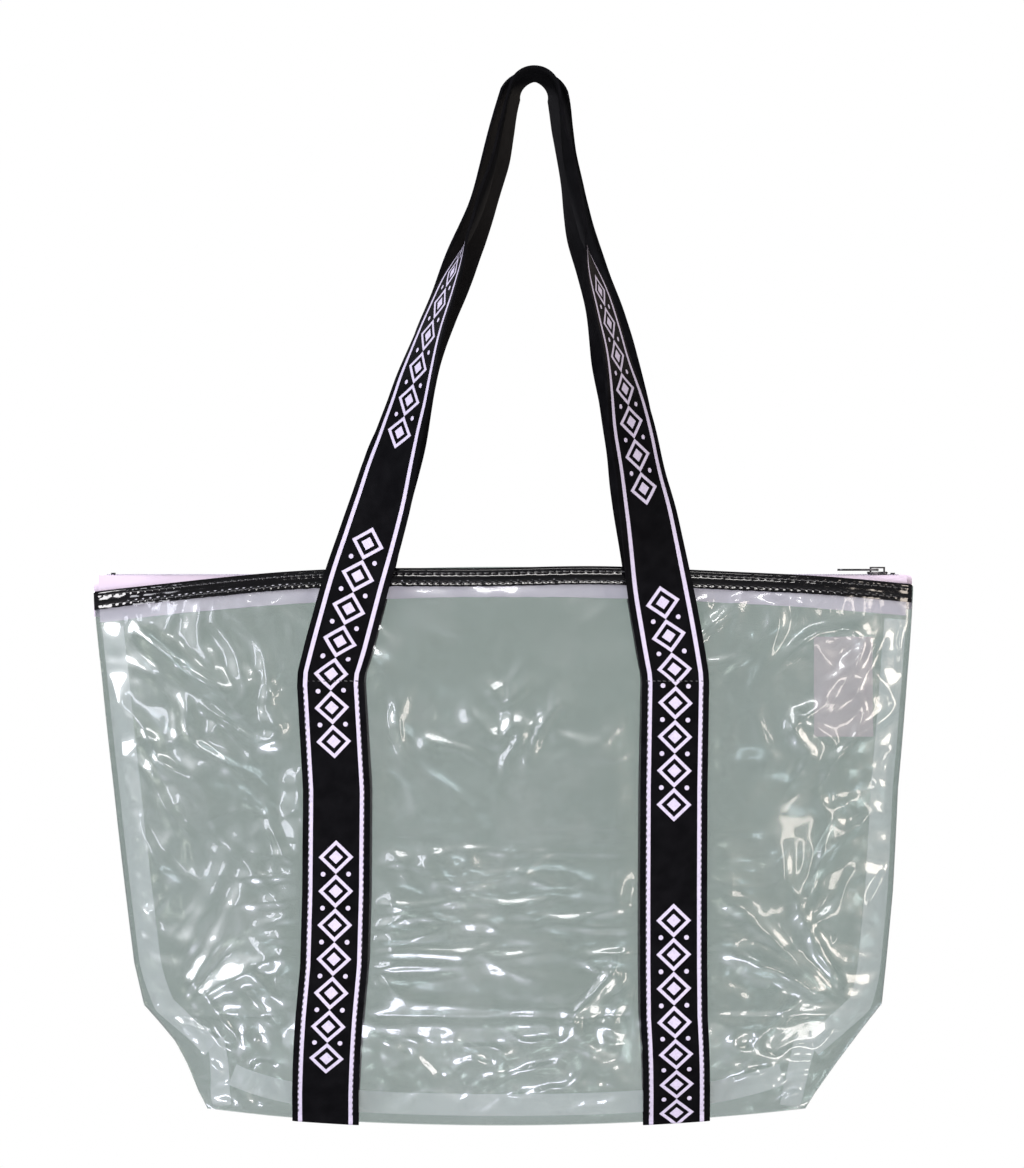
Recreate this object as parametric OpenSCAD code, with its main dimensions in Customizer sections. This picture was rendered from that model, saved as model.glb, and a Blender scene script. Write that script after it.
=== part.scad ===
// Clear zip-top beach tote, hanging by its two webbing handles from a hook.
// +Z is up, +X runs along the zip and the front face looks along -Y.
// The origin is where the crown of the two handle arches rests on the hook.

/* [Bag] */
// Width of the bag along its rim
rim_w = 492; // [440:2:540]
// Width of the bottom fold, between the boxed corners
base_w = 360; // [320:2:400]
// Height from the middle of the rim down to the bottom fold
bag_h = 336; // [300:2:360]
// Share of the height at which the base crease lies
crease_at = 0.8; // [0.76:0.01:0.84]
// Half of the mouth's depth at the rim
rim_half_depth = 14.4; // [12:0.2:18]
// Half of the bag's depth at the base crease
belly_half_depth = 27.4; // [24:0.2:34]
// Drop of the rim at the left end, below its middle
droop_left = 16; // [8:1:18]
// Drop of the rim at the right end, below its middle
droop_right = 11.5; // [8:0.5:18]
// Sag of the bottom fold's middle below its ends
base_sag = 10; // [4:1:14]
// Thickness of the clear sheet
sheet_t = 0.8; // [0.6:0.1:0.8]

/* [Webbing] */
// Width of the strap webbing
web_w = 40; // [32:1:42]
// Thickness of the strap webbing
web_t = 1.6; // [1.2:0.1:1.6]
// Distance between the two straps' middles
strap_gap = 206; // [180:2:230]
// Height of the hook above the middle of the rim
handle_drop = 294; // [260:2:320]
// Sewn length of strap above the handle's first free stitch, below the rim
stitch_below_rim = 67; // [60:1:80]
// Sideways offset of the hook from the bag's middle
hook_offset = 18.6; // [0:0.2:24]
// Radius of the handle's crown over the hook, at its middle thickness
crown_r = 14.5; // [10:0.5:18]
// Depth of the handles' middles in front of and behind the hook's middle
handle_depth = 22; // [22:0.5:26]

/* [Zip] */
// Depth of the zip line below the middle of the rim
zip_below_rim = 6.5; // [5:0.5:8]
// Length of the zip's teeth
zip_l = 476; // [430:2:520]
// Height of the closed teeth
teeth_h = 2.4; // [2:0.1:2.6]
// Half of the width of the closed teeth
teeth_half_w = 3.2; // [2.8:0.1:3.4]
// Length of the slider's body
slider_l = 12; // [10:0.5:14]
// Length of the pull tab from its pivot
tab_l = 24; // [18:1:30]
// Width of the pull tab
tab_w = 7; // [6:0.5:8]
// Radius of the hole in the pull tab's free end
tab_hole_r = 1.5; // [1:0.1:2]

/* [Trim] */
// Height of the patent binding on each side of the rim
binding_h = 11; // [9:0.5:13]
// Thickness of the patent binding
binding_t = 1; // [0.8:0.1:1]
// How far the zip tape's sewn edge hangs below the rim, inside
tape_hem = 19; // [16:1:22]
// Thickness of the zip tape and of the seam tapes
tape_t = 0.8; // [0.6:0.1:0.8]
// Width of the seam tapes
seam_tape_w = 13; // [10:1:14]
// Width of the care label
label_w = 35; // [25:1:36]
// Height of the care label
label_h = 60; // [40:1:70]

/* [Hidden] */

$fn = 48;
clear_color = [0.72, 0.80, 0.76, 0.45];
lilac = [0.80, 0.77, 0.86];
black = [0.05, 0.05, 0.055];

// Heights and middles
rim_z = -handle_drop;
zip_z = rim_z - zip_below_rim;
stitch_z = rim_z - stitch_below_rim;
bag_x = -hook_offset;
slider_x = bag_x + zip_l / 2 - 13.4;
stop_l = 2.5;

// Slider and the pivot of its tab
plate_t = 1;
plate_gap = teeth_h / 2 + 0.3;
slider_half_w = 4.4;
bar_r = 0.7;
bridge_half_l = 4.6;
bridge_w = 1.6;
pivot_z = zip_z + plate_gap + plate_t + 1.1;

// Gaps between layers, and the half gap at which the two panels meet in the side seam
layer_gap = 0.15;
fold_gap = 0.3;
seam_half_gap = sheet_t / 2 + 0.2;
sheet_o = sheet_t / 2;
binding_in = sheet_o + layer_gap;
binding_out = binding_in + binding_t;
tape_o = -binding_out - layer_gap;
web_in = sheet_o + 0.2;
web_out = web_in + web_t;
thread_t = 0.4;

// The bag's surface, by u from -1 to 1 across and s from 0 at the rim to 1 at the bottom fold
crease_half_w = rim_w / 2 - 26;
function half_w(s) = s < crease_at
  ? rim_w / 2 - (rim_w / 2 - crease_half_w) * pow(s / crease_at, 1.3)
  : crease_half_w - (crease_half_w - base_w / 2) * pow((s - crease_at) / (1 - crease_at), 0.9);
function belly(s) = s < crease_at
  ? rim_half_depth + (belly_half_depth - rim_half_depth) * sin(90 * s / crease_at)
  : 0.8 + (belly_half_depth - 0.8) * (1 - pow((s - crease_at) / (1 - crease_at), 1.6));
function plan(u) = sqrt(max(0, 1 - pow(abs(u), 3)));
function depth(u, s) = seam_half_gap + belly(s) * plan(u);
function rim_top(u) = rim_z - (u < 0 ? droop_left : droop_right) * u * u;
function bottom(u) = rim_z - bag_h + base_sag * u * u;
function share(u, d) = d / (rim_top(u) - bottom(u));
function height(u, s) = rim_top(u) + (bottom(u) - rim_top(u)) * s;
function surf(u, s, o) = [bag_x + u * half_w(s), -(depth(u, s) + o), height(u, s)];
function across(x, s) = (x - bag_x) / half_w(s);
function spread(n, limit) = [for (i = [0 : n]) limit * sin(90 * (2 * i / n - 1))];

// A closed sheet between two grids of points, out being the face that looks away from the bag
module slab(out, in) {
  n = len(out);
  m = len(out[0]);
  back = n * m;
  faces = [
    for (i = [0 : n - 2], j = [0 : m - 2])
      let (a = i * m + j, b = a + m, c = b + 1, d = a + 1)
      each [[a, b, c], [a, c, d], [back + a, back + c, back + b], [back + a, back + d, back + c]],
    for (i = [0 : n - 2])
      let (a = i * m, b = a + m, c = a + m - 1, d = b + m - 1)
      each [[back + a, back + b, b], [back + a, b, a], [c, d, back + d], [c, back + d, back + c]],
    for (j = [0 : m - 2])
      let (a = j, b = j + 1, c = (n - 1) * m + j, d = c + 1)
      each [[a, b, back + b], [a, back + b, back + a], [back + c, back + d, d], [back + c, d, c]]
  ];
  polyhedron(points = concat([for (r = out) each r], [for (r = in) each r]), faces = faces);
}

module back_half() {
  mirror([0, 1, 0]) children();
}

// Panels: one clear sheet each side, with half of the base below its crease.
// The straps and the binding share its rows and columns, so that the layers stay parallel.
panel_rows = 20;
rim_cols = 36;
function panel_s(u, j) = share(u, 1.2) + (1 - share(u, 1.2)) * j / panel_rows;
module panel() {
  us = spread(rim_cols, 1);
  color(clear_color)
    slab([for (u = us) [for (j = [0 : panel_rows]) surf(u, panel_s(u, j), sheet_o)]],
         [for (u = us) [for (j = [0 : panel_rows]) surf(u, panel_s(u, j), -sheet_o)]]);
}

// Patent binding folded over the rim's edge
module rim_binding() {
  us = spread(rim_cols, 0.997);
  fold = binding_t * 0.3;
  function line(u, o, edge) = [
    surf(u, share(u, binding_h), -o), surf(u, share(u, edge + fold), -o),
    surf(u, share(u, edge), -o + fold), surf(u, share(u, edge), o - fold),
    surf(u, share(u, edge + fold), o), surf(u, share(u, binding_h), o)
  ];
  color(black)
    slab([for (u = us) line(u, binding_out, 0)], [for (u = us) line(u, binding_in, 1)]);
}

// Two rows of lockstitch along the binding
module rim_thread() {
  us = spread(rim_cols, 0.985);
  color("dimgray")
    for (d = [2.8, 8.4])
      slab([for (u = us) [for (e = [0, 0.6]) surf(u, share(u, d + e), binding_out + 0.05 + thread_t)]],
           [for (u = us) [for (e = [0, 0.6]) surf(u, share(u, d + e), binding_out + 0.05)]]);
}

// Zip tape from the teeth out to the rim, then down inside the binding
module zip_tape() {
  us = spread(rim_cols, 0.985);
  function section(u, o, lift, lip) =
    let (top = min(zip_z, rim_top(u) - 2.5) + lift, x = bag_x + u * rim_w / 2)
    [
      [x, -(teeth_half_w + 0.15), zip_z + lift], [x, -lip, zip_z + lift],
      [x, -(depth(u, 0) + o), top], surf(u, share(u, tape_hem / 2 + 5), o), surf(u, share(u, tape_hem), o)
    ];
  color(lilac)
    slab([for (u = us) section(u, tape_o, tape_t / 2, 5.1)],
         [for (u = us) section(u, tape_o - tape_t, -tape_t / 2, 4.9)]);
}

// One side's row of teeth, as the rod that the coils fill
module zip_teeth() {
  r = teeth_h / 2;
  color(lilac)
    translate([bag_x - zip_l / 2, 0, zip_z])
      rotate([90, 0, 90])
        linear_extrude(zip_l)
          union() {
            translate([-teeth_half_w + r, 0]) circle(r);
            translate([-teeth_half_w + r, -r]) square([teeth_half_w - r - 0.35, teeth_h]);
          }
}

// Folded end of the two zip tapes, standing above the binding at the end of the rim
module zip_end_tab(side) {
  end_x = side * (rim_w / 2 - 0.6);
  start_x = side * (zip_l / 2 + 0.6);
  low = rim_top(side) - binding_h - 4;
  top = zip_z + teeth_h / 2;
  round_r = 3.5;
  color(lilac)
    translate([bag_x, tape_t / 2, 0])
      rotate([90, 0, 0])
        linear_extrude(tape_t)
          union() {
            translate([min(start_x, end_x), low]) square([abs(end_x - start_x), top - low - round_r]);
            translate([min(start_x, end_x - side * round_r), top - round_r - 0.5])
              square([abs(end_x - start_x) - round_r, round_r + 0.5]);
            translate([end_x - side * round_r, top - round_r]) circle(round_r);
          }
}

// Metal stop crimped round the teeth
module zip_stop(side) {
  wall = 0.5;
  x = bag_x + side * (zip_l / 2 - 4.2);
  color("silver")
    translate([x, 0, zip_z])
      difference() {
        cube([stop_l, 2 * teeth_half_w - 0.4, teeth_h + 2 * wall + 0.3], center = true);
        cube([stop_l + 1, 2 * teeth_half_w + 1, teeth_h + 0.3], center = true);
      }
  color("silver")
    translate([x, 0, zip_z])
      cube([stop_l, 0.5, teeth_h + 0.4], center = true);
}

// Slider: two plates joined by the post that parts the teeth, side lips and a bridge for the tab
module slider_body() {
  lip = 0.9;
  slot = 0.8;
  module lips(up) {
    for (side = [-1, 1])
      translate([-slider_l / 2, side > 0 ? slider_half_w - lip : -slider_half_w, up ? slot : -plate_gap])
        cube([slider_l, lip, plate_gap - slot]);
  }
  module plate() {
    linear_extrude(plate_t)
      intersection() {
        square([slider_l, 2 * slider_half_w], center = true);
        circle(r = slider_l * 0.56);
      }
  }
  color("dimgray")
    translate([slider_x, 0, zip_z])
      union() {
        translate([0, 0, plate_gap]) plate();
        translate([0, 0, -plate_gap - plate_t]) plate();
        intersection() {
          union() {
            lips(true);
            lips(false);
          }
          translate([0, 0, -5]) cylinder(h = 10, r = slider_l * 0.56);
        }
        translate([slider_l / 2 - 2.4, -0.2, -plate_gap - 0.01]) cube([2, 0.4, 2 * plate_gap + 0.02]);
        bridge_low = plate_gap + plate_t;
        bridge_up = pivot_z - zip_z + 0.9;
        for (side = [-1, 1])
          translate([side * (bridge_half_l - 0.5) - 0.5, -bridge_w / 2, bridge_low - 0.01])
            cube([1, bridge_w, bridge_up - bridge_low + 0.02]);
        translate([-bridge_half_l, -bridge_w / 2, bridge_up]) cube([2 * bridge_half_l, bridge_w, 0.9]);
      }
}

// Pull tab lying along the zip, its crossbar under the slider's bridge
module pull_tab() {
  tab_t = 1.2;
  window_l = 7;
  window_w = bridge_w + 1;
  color("dimgray")
    translate([slider_x, 0, pivot_z])
      difference() {
        union() {
          translate([-tab_l + tab_w / 2, -tab_w / 2, -tab_t / 2]) cube([tab_l - tab_w / 2, tab_w, tab_t]);
          translate([-tab_l + tab_w / 2, 0, -tab_t / 2]) cylinder(h = tab_t, d = tab_w);
          rotate([90, 0, 0]) cylinder(h = tab_w, r = bar_r, center = true);
        }
        translate([-window_l, -window_w / 2, -tab_t]) cube([window_l - bar_r, window_w, 2 * tab_t]);
        translate([-tab_l + tab_w / 2, 0, -tab_t]) cylinder(h = 2 * tab_t, r = tab_hole_r);
      }
}

// Sewn strap on the panel, from the handle's stitch line down and round under the base
strap_cols = 4;
function strap_x(side) = bag_x + side * strap_gap / 2;
function strap_top_s(u, d) = share(u, rim_top(u) - stitch_z + d);
// Stations down a strap: its top, then the panel's rows below it but the last
first_row = ceil(stitch_below_rim / bag_h * panel_rows + 0.3);
function strap_rows(x, d) = concat(
  [strap_top_s(across(x, 0.2), d)],
  [for (j = [first_row : panel_rows - 1]) panel_s(across(x, 0.5), j)]
);
function strap_line(x, o) =
  let (u = across(x, 1))
  concat(
    [for (s = strap_rows(x, fold_gap)) surf(across(x, s), s, o)],
    [[x, -(depth(u, 1) + o), bottom(u) - o], [x, -0.1, bottom(u) - o]]
  );
module strap(side) {
  xs = [for (i = [0 : strap_cols]) strap_x(side) + web_w * (i / strap_cols - 0.5)];
  color(black)
    slab([for (x = xs) strap_line(x, web_out)], [for (x = xs) strap_line(x, web_in)]);
}

// Lockstitch down both borders of each strap and across its top
module strap_thread() {
  row = web_w / 2 - 4.8;
  in = web_out + 0.05;
  function down(x, o) = [for (s = strap_rows(x, 4)) surf(across(x, s), s, o)];
  function cross(x, o) = [for (d = [1.4, 2]) let (s = strap_top_s(across(x, 0.2), d)) surf(across(x, s), s, o)];
  color("lightgray")
    for (side = [-1, 1]) {
      for (edge = [-1, 1]) {
        xs = [for (e = [-0.3, 0.3]) strap_x(side) + edge * row + e];
        slab([for (x = xs) down(x, in + thread_t)], [for (x = xs) down(x, in)]);
      }
      cs = [for (i = [0 : 4]) strap_x(side) + (row + 1) * (i / 2 - 1)];
      slab([for (x = cs) cross(x, in + thread_t)], [for (x = cs) cross(x, in)]);
    }
}

// Free handle: a ribbon from the right foot over the hook to the left foot.
// Its front foot lies in front of the strap, so that it folds down over it.
foot_s = stitch_below_rim / bag_h;
hinge_y = -(depth((strap_gap - web_w) / 2 / half_w(foot_s), foot_s) + web_out + 0.3);
foot_y = hinge_y + 0.3 + web_t / 2;
crown_z = web_t / 2 - crown_r;
leg_steps = 18;
crown_steps = 10;
function reach(side) = norm([strap_x(side), stitch_z - crown_z]);
function splay(side) = atan(abs(strap_x(side)) / (crown_z - stitch_z)) - asin(crown_r / reach(side));
function clamp(v) = min(1, max(0, v));
function inward(a) = [-cos(a), -sin(a)];
function unit(v) = v / norm(v);
function rim_angle(side) = side > 0 ? splay(1) : 180 - splay(-1);
function foot(side) = [strap_x(side), stitch_z];
function tangent(side) = [0, crown_z] - crown_r * inward(rim_angle(side));
// Each station is the middle point, the direction into the loop, and the share of the way up
function leg(side, up) = [for (k = [0 : leg_steps])
  let (f = up ? k / leg_steps : 1 - k / leg_steps, p = foot(side) + (tangent(side) - foot(side)) * f)
  [p, inward(rim_angle(side)), f * 0.96]];
function crown() = [for (k = [1 : crown_steps - 1])
  let (a = rim_angle(1) + (rim_angle(-1) - rim_angle(1)) * k / crown_steps)
  [[0, crown_z] - crown_r * inward(a), inward(a), 1 - 0.04 * abs(2 * k / crown_steps - 1)]];
function stations() = concat(leg(1, true), crown(), leg(-1, false));
function front_twist(f) = 90 * clamp((f - 0.06) / 0.66);
function back_twist(f) = 66 * (1 - pow(1 - clamp((f - 0.06) / 0.66), 1.6))
  + 8 * clamp((f - 0.72) / 0.24) + 16 * clamp((f - 0.96) / 0.04);
function lean(f) = foot_y + (-handle_depth - foot_y) * f - 5 * sin(180 * clamp(f / 0.5));
module handle(front, bow) {
  function ribbon(c, o) = [for (st = stations())
    let (
      f = st[2],
      t = front ? front_twist(f) : back_twist(f),
      turn = clamp(f / 0.07),
      flat = [sign(st[1][0]), 0],
      n = f > 0.07 ? st[1] : unit(flat * (1 - turn) + st[1] * turn),
      side_shift = -bow * sin(180 * clamp(f)),
      w = [n[0] * cos(t), -sin(t), n[1] * cos(t)],
      face = [-n[0] * sin(t), -cos(t), -n[1] * sin(t)],
      mid = [st[0][0] + n[0] * side_shift, lean(f), st[0][1] + n[1] * side_shift]
    )
    mid + w * c + face * o];
  cols = [for (i = [0 : 2]) web_w * (i / 2 - 0.5)];
  color(black)
    slab([for (c = cols) ribbon(c, web_t / 2)], [for (c = cols) ribbon(c, -web_t / 2)]);
}

// Seam tapes stand in the bag's middle plane, inside the seams they cover
module flat_strip(edge_a, edge_b) {
  color([0.86, 0.86, 0.88, 0.8])
    slab([for (e = [edge_a, edge_b]) [for (p = e) [p[0], -tape_t / 2, p[1]]]],
         [for (e = [edge_a, edge_b]) [for (p = e) [p[0], tape_t / 2, p[1]]]]);
}
tape_low_s = 0.88;
function seam_in(s) = 9.5 + 12 * pow(clamp((s - 0.72) / (tape_low_s - 0.72)), 2);
function tape_mid_x(side, s) = side * (half_w(s) - seam_in(s));
module side_seam_tape(side) {
  steps = 14;
  s0 = share(side, tape_hem + 3);
  ss = [for (k = [0 : steps]) s0 + (tape_low_s - s0) * k / steps];
  function edge(e) = [for (s = ss) [bag_x + tape_mid_x(side, s) + e, height(side * 0.95, s)]];
  flat_strip(edge(-seam_tape_w / 2), edge(seam_tape_w / 2));
}
module corner_seam_tape(side) {
  x = bag_x + tape_mid_x(side, tape_low_s) - side * 3;
  low_x = bag_x + side * (base_w / 2 - seam_tape_w / 2 - 3);
  top = height(side * 0.95, tape_low_s) - 0.8;
  low = bottom(side * 0.85) + 4;
  function edge(e) = [[x + e, top], [low_x + e * 0.9, low]];
  flat_strip(edge(-seam_tape_w / 2), edge(seam_tape_w / 2));
}
module bottom_seam_tape() {
  half = tape_mid_x(1, tape_low_s) - seam_tape_w / 2 - 9;
  us = [for (k = [0 : 20]) k / 10 - 1];
  function mid(v) = bottom(v * 0.8) + 12 + 12 * pow(abs(v), 4);
  function edge(e) = [for (v = us) [bag_x + v * half, mid(v) + e]];
  flat_strip(edge(-seam_tape_w / 2), edge(seam_tape_w / 2));
}

// Blank care label sewn into the right side seam
module care_label() {
  x = bag_x + tape_mid_x(1, 0.32) - seam_tape_w / 2 - 0.4;
  color("thistle")
    translate([x - label_w, -0.2, rim_z - 103]) cube([label_w, 0.4, label_h]);
}

panel();  // front_panel
back_half() panel();  // back_panel
side_seam_tape(-1);  // side_seam_tape_left
side_seam_tape(1);  // side_seam_tape_right
corner_seam_tape(-1);  // corner_seam_tape_left
corner_seam_tape(1);  // corner_seam_tape_right
bottom_seam_tape();
rim_binding();  // front_rim_binding
back_half() rim_binding();  // back_rim_binding
rim_thread();  // front_rim_thread
back_half() rim_thread();  // back_rim_thread
zip_tape();  // front_zip_tape
back_half() zip_tape();  // back_zip_tape
zip_teeth();  // front_zip_teeth
back_half() zip_teeth();  // back_zip_teeth
zip_end_tab(-1);  // zip_end_tab_left
zip_end_tab(1);  // zip_end_tab_right
zip_stop(-1);  // zip_stop_left
zip_stop(1);  // zip_stop_right
slider_body();
pull_tab();
strap(-1);  // front_strap_left
strap(1);  // front_strap_right
back_half() strap(-1);  // back_strap_left
back_half() strap(1);  // back_strap_right
strap_thread();  // front_strap_thread
back_half() strap_thread();  // back_strap_thread
handle(true, 3);  // front_handle
back_half() handle(false, 3);  // back_handle
care_label();
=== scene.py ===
"""Looks for a clear zip-top beach tote that hangs by its webbing handles."""

import math

import bpy
import numpy as np
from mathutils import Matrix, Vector


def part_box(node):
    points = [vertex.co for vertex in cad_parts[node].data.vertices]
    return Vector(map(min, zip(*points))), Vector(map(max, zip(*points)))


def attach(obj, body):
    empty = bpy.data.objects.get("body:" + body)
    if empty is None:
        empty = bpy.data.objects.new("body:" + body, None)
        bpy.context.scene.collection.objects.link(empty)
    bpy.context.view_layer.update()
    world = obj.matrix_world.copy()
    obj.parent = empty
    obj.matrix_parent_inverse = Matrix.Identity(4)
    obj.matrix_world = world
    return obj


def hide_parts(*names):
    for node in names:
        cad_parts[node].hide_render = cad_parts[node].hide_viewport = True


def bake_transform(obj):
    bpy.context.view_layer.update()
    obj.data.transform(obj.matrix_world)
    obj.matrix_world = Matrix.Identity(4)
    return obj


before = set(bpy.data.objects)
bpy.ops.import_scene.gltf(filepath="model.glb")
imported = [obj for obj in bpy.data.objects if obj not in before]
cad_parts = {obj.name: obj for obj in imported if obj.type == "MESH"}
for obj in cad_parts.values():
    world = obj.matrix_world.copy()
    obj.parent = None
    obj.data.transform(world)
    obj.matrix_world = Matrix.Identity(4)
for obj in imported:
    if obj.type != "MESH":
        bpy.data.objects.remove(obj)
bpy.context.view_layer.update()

MM = 0.001

# ---------------------------------------------------------------------------
# Driving sizes in millimetres. What the CAD's boxes can say is read from them.


def box_mm(node):
    low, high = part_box(node)
    return np.array(low) / MM, np.array(high) / MM


panel_low, panel_high = box_mm("front_panel")
teeth_low, teeth_high = box_mm("front_zip_teeth")
strap_low, strap_high = box_mm("front_strap_right")

SHEET_T = 0.5
SHEET_BELOW_RIM = 1.2
RIM_W = panel_high[0] - panel_low[0]
RIM_Z = panel_high[2] + SHEET_BELOW_RIM
BAG_X = (panel_high[0] + panel_low[0]) / 2
BAG_H = 336.0
BASE_W = 360.0
BASE_SAG = 10.0
CREASE_AT = 0.8
CREASE_INSET = 26.0
SEAM_DEPTH = 0.6
RIM_DEPTH, BELLY_DEPTH, BASE_DEPTH = 14.4, 27.4, 0.8
DROOP_LEFT, DROOP_RIGHT = 16.0, 11.5
WEB_W = strap_high[0] - strap_low[0]
WEB_T = 1.6
WEB_IN, WEB_OUT = 0.6, 2.2
BORDER_AT = 4.8
STRAP_X = (strap_high[0] + strap_low[0]) / 2 - BAG_X
STITCH_DROP = 67.0
STITCH_Z = RIM_Z - STITCH_DROP
STRAP_PITCH = 3.6
CROWN_R = 14.5
HANDLE_DEPTH = 22.0
BINDING_H = 11.0
BINDING_IN, BINDING_OUT = 0.55, 1.55
RIM_ROWS = (3.0, 8.6)
STITCH_PITCH = 4.3
ZIP_Z = (teeth_low[2] + teeth_high[2]) / 2
ZIP_L = teeth_high[0] - teeth_low[0]
TEETH_HALF_W = -teeth_low[1]
TAPE_O = -1.7
TAPE_T = 0.8
TAPE_HEM = 19.0

# ---------------------------------------------------------------------------
# The bag's surface: u from -1 to 1 across, s from 0 at the rim to 1 at the bottom fold


def smooth(v, low, high):
    t = np.clip((v - low) / (high - low), 0, 1)
    return t * t * (3 - 2 * t)


def bell(v, width):
    return np.exp(-((v / width) ** 2))


def above_crease(s):
    """0 at the rim, 1 from the base crease down."""
    return np.clip(s / CREASE_AT, 0, 1)


def below_crease(s):
    """0 down to the base crease, 1 at the bottom fold."""
    return np.clip((s - CREASE_AT) / (1 - CREASE_AT), 0, 1)


def half_w(s):
    s = np.asarray(s, float)
    crease_w = RIM_W / 2 - CREASE_INSET
    side = RIM_W / 2 - CREASE_INSET * np.power(above_crease(s), 1.3)
    base = crease_w - (crease_w - BASE_W / 2) * np.power(below_crease(s), 0.9)
    return np.where(s < CREASE_AT, side, base)


def belly(s):
    s = np.asarray(s, float)
    upper = RIM_DEPTH + (BELLY_DEPTH - RIM_DEPTH) * np.sin(np.pi / 2 * above_crease(s))
    base = BASE_DEPTH + (BELLY_DEPTH - BASE_DEPTH) * (1 - np.power(below_crease(s), 1.6))
    return np.where(s < CREASE_AT, upper, base)


def depth(u, s):
    return SEAM_DEPTH + belly(s) * np.sqrt(np.clip(1 - np.abs(u) ** 3, 0, 1))


def rim_top(u):
    u = np.asarray(u, float)
    return RIM_Z - np.where(u < 0, DROOP_LEFT, DROOP_RIGHT) * u * u


def bottom(u):
    return RIM_Z - BAG_H + BASE_SAG * np.asarray(u, float) ** 2


def share(u, d):
    """The s that lies d millimetres below the rim."""
    return d / (rim_top(u) - bottom(u))


def across(x, s):
    return (x - BAG_X) / half_w(s)


def surf(u, s, o):
    """Points of the front face at offset o out of the sheet's middle. Arrays broadcast."""
    u, s, o = np.broadcast_arrays(np.asarray(u, float), np.asarray(s, float), np.asarray(o, float))
    z = rim_top(u) + (bottom(u) - rim_top(u)) * s
    return np.stack([BAG_X + u * half_w(s), -(depth(u, s) + o), z], -1)


SETTLE_S = [0, 0.2, 0.4, 0.58, 0.71, 0.80, 0.85, 0.89, 0.94, 1.0]
SETTLE_RIGHT_SIDE = [0, 0, 1.0, 5.0, 6.4, 7.2, 5.4, 3.6, 1.8, 1.0]
SETTLE_LEFT_SIDE = [0, 2.2, 2.8, 2.6, 2.4, 5.4, 8.2, 7.0, 3.6, 2.0]
SETTLE_RIGHT_STRAP = [0, 0, -1.2, -1.5, -1.5, -1.2, -0.2, 0.4, 0.8, 1.0]
SETTLE_LEFT_STRAP = [0, 0, 4.0, 3.6, 2.4, -0.4, -1.6, -2.4, -3.2, -3.6]
SIDE_REACH = (0.6, 1.0)
STRAP_REACH = (0.1, 0.4)


def settle(p):
    """The hung body stands a little aside of the even shape, at its sides and its straps."""
    s = np.clip((RIM_Z - p[..., 2]) / BAG_H, 0, 1)
    u = across(p[..., 0], s)
    strap_u = STRAP_X / half_w(s)
    shift = smooth(u, *SIDE_REACH) * np.interp(s, SETTLE_S, SETTLE_RIGHT_SIDE)
    shift = shift + smooth(-u, *SIDE_REACH) * np.interp(s, SETTLE_S, SETTLE_LEFT_SIDE)
    near_right = 1 - smooth(np.abs(u - strap_u), *STRAP_REACH)
    near_left = 1 - smooth(np.abs(u + strap_u), *STRAP_REACH)
    shift = shift + near_right * np.interp(s, SETTLE_S, SETTLE_RIGHT_STRAP)
    shift = shift + near_left * np.interp(s, SETTLE_S, SETTLE_LEFT_STRAP)
    moved = p.copy()
    moved[..., 0] += shift
    return moved


def perlin(x, y, seed):
    """Smooth gradient noise from about -1 to 1."""
    cells = 64
    gradients = np.random.default_rng(seed).uniform(0, 2 * np.pi, (cells, cells))
    x, y = np.broadcast_arrays(np.asarray(x, float), np.asarray(y, float))
    xi, yi = np.floor(x).astype(int), np.floor(y).astype(int)
    xf, yf = x - xi, y - yi
    fade_x = xf**3 * (xf * (6 * xf - 15) + 10)
    fade_y = yf**3 * (yf * (6 * yf - 15) + 10)

    def corner(i, j):
        a = gradients[(xi + i) % cells, (yi + j) % cells]
        return np.cos(a) * (xf - i) + np.sin(a) * (yf - j)

    low = corner(0, 0) * (1 - fade_x) + corner(1, 0) * fade_x
    high = corner(0, 1) * (1 - fade_x) + corner(1, 1) * fade_x
    return 1.5 * (low * (1 - fade_y) + high * fade_y)


# ---------------------------------------------------------------------------
# Mesh making. A part is (vertices in millimetres, faces, uvs in metres).


def unit(v):
    return v / np.maximum(np.linalg.norm(v, axis=-1, keepdims=True), 1e-9)


def facing_front(normal):
    return np.where(normal[..., 1:2] > 0, -normal, normal)


def uv_grid(a, b):
    return np.stack(np.broadcast_arrays(a, b), -1) * MM


def grid_faces(n, m, start=0, flip=False):
    i, j = np.meshgrid(np.arange(n - 1), np.arange(m - 1), indexing="ij")
    a = (start + i * m + j).ravel()
    quad = np.stack([a, a + m, a + m + 1, a + 1], 1)
    return quad[:, ::-1] if flip else quad


def slab(out, inn, uv_out):
    """A closed sheet between two grids of points. The inner face's uvs lie one metre aside, so
    that a material can tell the two faces apart."""
    n, m = out.shape[:2]
    back = n * m
    faces = [grid_faces(n, m, 0, True), grid_faces(n, m, back)]
    i = np.arange(n - 1)
    for j, flip in ((0, False), (m - 1, True)):
        a = i * m + j
        quad = np.stack([a, a + m, back + a + m, back + a], 1)
        faces.append(quad[:, ::-1] if flip else quad)
    j = np.arange(m - 1)
    for i0, flip in ((0, True), (n - 1, False)):
        a = i0 * m + j
        quad = np.stack([a, a + 1, back + a + 1, back + a], 1)
        faces.append(quad[:, ::-1] if flip else quad)
    verts = np.concatenate([out.reshape(-1, 3), inn.reshape(-1, 3)])
    flat = uv_out.reshape(-1, 2)
    return verts, np.concatenate(faces).tolist(), np.concatenate([flat, flat + [1.0, 0.0]])


def ring_faces(rings, sides, flip=False):
    """The sides of a closed tube, ring after ring."""
    i, j = np.meshgrid(np.arange(rings - 1), np.arange(sides), indexing="ij")
    b = (i * sides + j).ravel()
    c = (i * sides + (j + 1) % sides).ravel()
    order = [b, b + sides, c + sides, c] if flip else [b, c, c + sides, b + sides]
    return np.stack(order, 1)


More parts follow.
